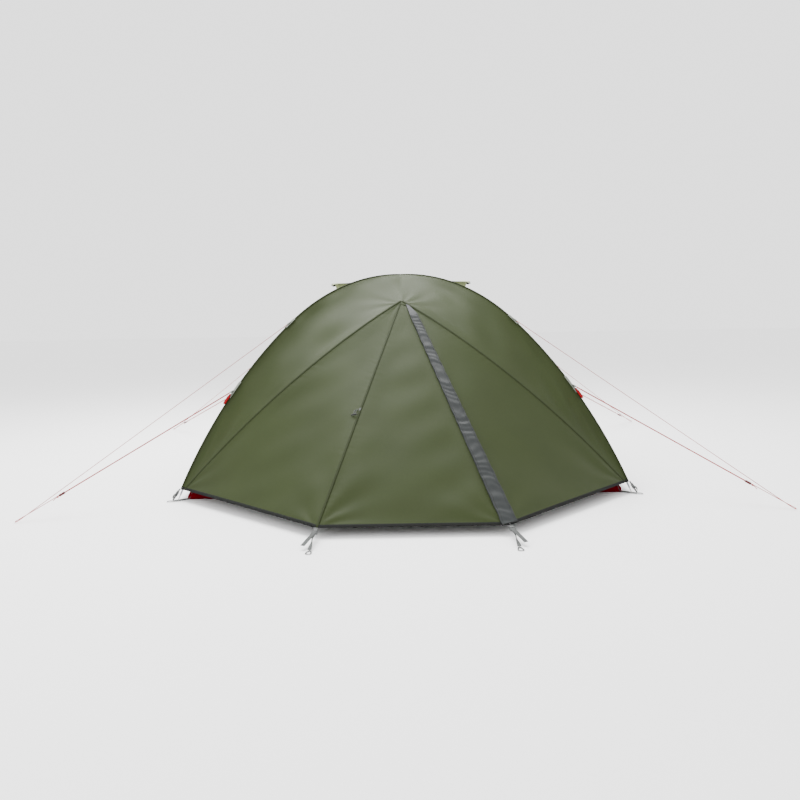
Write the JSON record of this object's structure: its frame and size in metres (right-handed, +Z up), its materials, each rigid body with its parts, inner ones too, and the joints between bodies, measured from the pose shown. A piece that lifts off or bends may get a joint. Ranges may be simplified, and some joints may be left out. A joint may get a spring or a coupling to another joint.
{
  "type": "dome tent",
  "caption": "Crossed-pole dome tent pitched with guylines: olive flysheet with hooded vents and zipped porch doors over an inner tent with a bathtub groundsheet.",
  "frame": {"origin": "on the ground under the crossing of the poles, the middle of the tent's footprint", "axes": "+X along the tent's length, +Y from the front porch to the rear porch, +Z up"},
  "size_m": [3.779, 3.5092, 1.15],
  "materials": {
    "pole_aluminium": "satin anodised",
    "ferrule_aluminium": "bare drawn",
    "shock_cord": "braided elastic",
    "clip_plastic": "moulded",
    "fly_fabric": "coated polyester weave",
    "flap_fabric": "coated weave, puckered",
    "mesh_fabric": "fine net",
    "zip_plastic": "coil zip",
    "slider_metal": "dark plated",
    "toggle_plastic": "moulded",
    "groundsheet_fabric": "coated taffeta",
    "inner_fabric": "breathable ripstop",
    "webbing": "woven tape",
    "eyelet_metal": "pressed",
    "guy_cord": "braided reflective cord",
    "pouch_fabric": "light mesh-backed fabric"
  },
  "bodies": {
    "tent": {"pole_a_sections": "pole_aluminium", "pole_b_sections": "pole_aluminium", "pole_a_ferrules": "ferrule_aluminium", "pole_b_ferrules": "ferrule_aluminium", "pole_tips": "ferrule_aluminium", "pole_a_shock_cord": "shock_cord", "pole_b_shock_cord": "shock_cord", "pole_cross_clip": "clip_plastic", "inner_clips": "clip_plastic", "fly_corner_buckles": "clip_plastic", "porch_buckles": "clip_plastic", "fly_end_left": "fly_fabric", "fly_end_right": "fly_fabric", "fly_roof_front": "fly_fabric", "fly_roof_rear": "fly_fabric", "porch_left_front": "fly_fabric", "porch_left_rear": "fly_fabric", "porch_right_front": "fly_fabric", "porch_right_rear": "fly_fabric", "vent_mesh_left": "mesh_fabric", "vent_mesh_right": "mesh_fabric", "zip_fixed_half_front": "zip_plastic", "zip_fixed_half_rear": "zip_plastic", "door_toggle_front": "toggle_plastic", "door_toggle_rear": "toggle_plastic", "groundsheet_tub": "groundsheet_fabric", "inner_wall_front": "inner_fabric", "inner_wall_rear": "inner_fabric", "inner_end_left": "inner_fabric", "inner_end_right": "inner_fabric", "corner_straps": "webbing", "fly_corner_straps": "webbing", "porch_straps": "webbing", "guy_tabs": "webbing", "corner_eyelets": "eyelet_metal", "guyline_front_left": "guy_cord", "guyline_front_right": "guy_cord", "guyline_rear_left": "guy_cord", "guyline_rear_right": "guy_cord", "guyline_knots": "guy_cord", "guyline_pouches": "pouch_fabric"},
    "door_front": {"door_front": "fly_fabric", "zip_door_half_front": "zip_plastic"},
    "flap_front": {"storm_flap_front": "flap_fabric"},
    "slider_front": {"zip_slider_front": "slider_metal"},
    "inner_door_front": {"inner_door_front": "inner_fabric"},
    "door_rear": {"door_rear": "fly_fabric", "zip_door_half_rear": "zip_plastic"},
    "flap_rear": {"storm_flap_rear": "flap_fabric"},
    "slider_rear": {"zip_slider_rear": "slider_metal"},
    "inner_door_rear": {"inner_door_rear": "inner_fabric"},
    "hood_right": {"vent_hood_right": "fly_fabric"},
    "prop_right": {"vent_prop_right": "clip_plastic"},
    "hood_left": {"vent_hood_left": "fly_fabric"},
    "prop_left": {"vent_prop_left": "clip_plastic"},
    "runner_front_left": {"runner_front_left": "clip_plastic"},
    "runner_front_right": {"runner_front_right": "clip_plastic"},
    "runner_rear_left": {"runner_rear_left": "clip_plastic"},
    "runner_rear_right": {"runner_rear_right": "clip_plastic"}
  },
  "joints": [
    {"name": "door_front_swing", "type": "hinge", "parent": "tent", "child": "door_front", "pos_m": [-0.37, -1.52032, 0.04538], "axis": [-0.2448, -0.741, -0.6252], "range_deg": [0, 118]},
    {"name": "storm_flap_front_fold", "type": "hinge", "parent": "door_front", "child": "flap_front", "pos_m": [0.04421, -0.50601, 0.90971], "axis": [0.2552, -0.739, -0.6235], "range_deg": [0, 160]},
    {"name": "zip_slider_front_run", "type": "slide", "parent": "tent", "child": "slider_front", "axis": [-0.2642, 0.7371, 0.622], "range_m": [0, 1.33]},
    {"name": "inner_door_front_fold", "type": "hinge", "parent": "tent", "child": "inner_door_front", "pos_m": [0, -0.73008, 0.1762], "axis": [-1, 0, 0], "range_deg": [0, 75]},
    {"name": "door_rear_swing", "type": "hinge", "parent": "tent", "child": "door_rear", "pos_m": [0.37, 1.52032, 0.04538], "axis": [0.2448, 0.741, -0.6252], "range_deg": [0, 118]},
    {"name": "storm_flap_rear_fold", "type": "hinge", "parent": "door_rear", "child": "flap_rear", "pos_m": [-0.04421, 0.50601, 0.90971], "axis": [-0.2552, 0.739, -0.6235], "range_deg": [0, 160]},
    {"name": "zip_slider_rear_run", "type": "slide", "parent": "tent", "child": "slider_rear", "axis": [0.2642, -0.7371, 0.622], "range_m": [0, 1.33]},
    {"name": "inner_door_rear_fold", "type": "hinge", "parent": "tent", "child": "inner_door_rear", "pos_m": [0, 0.73008, 0.1762], "axis": [1, 0, 0], "range_deg": [0, 75]},
    {"name": "vent_hood_right_close", "type": "hinge", "parent": "tent", "child": "hood_right", "pos_m": [0.27056, 0, 1.1024], "axis": [0, 1, 0], "range_deg": [0, 12]},
    {"name": "vent_prop_right_fold", "type": "hinge", "parent": "hood_right", "child": "prop_right", "pos_m": [0.37505, 0, 1.09175], "axis": [0, 1, 0], "range_deg": [0, 24]},
    {"name": "vent_hood_left_close", "type": "hinge", "parent": "tent", "child": "hood_left", "pos_m": [-0.27056, 0, 1.1024], "axis": [0, -1, 0], "range_deg": [0, 12]},
    {"name": "vent_prop_left_fold", "type": "hinge", "parent": "hood_left", "child": "prop_left", "pos_m": [-0.37505, 0, 1.09175], "axis": [0, -1, 0], "range_deg": [0, 24]},
    {"name": "runner_front_left_slide", "type": "slide", "parent": "tent", "child": "runner_front_left", "axis": [0.757, 0.4749, 0.4488], "range_m": [0, 0.45]},
    {"name": "runner_front_right_slide", "type": "slide", "parent": "tent", "child": "runner_front_right", "axis": [-0.757, 0.4749, 0.4488], "range_m": [0, 0.45]},
    {"name": "runner_rear_left_slide", "type": "slide", "parent": "tent", "child": "runner_rear_left", "axis": [0.6366, -0.6932, 0.3379], "range_m": [0, 0.45]},
    {"name": "runner_rear_right_slide", "type": "slide", "parent": "tent", "child": "runner_rear_right", "axis": [-0.6366, -0.6932, 0.3379], "range_m": [0, 0.45]}
  ],
  "couplings": [
    {"joint": "vent_prop_left_fold", "follows": "vent_hood_left_close", "ratio": 2},
    {"joint": "vent_prop_right_fold", "follows": "vent_hood_right_close", "ratio": 2}
  ]
}
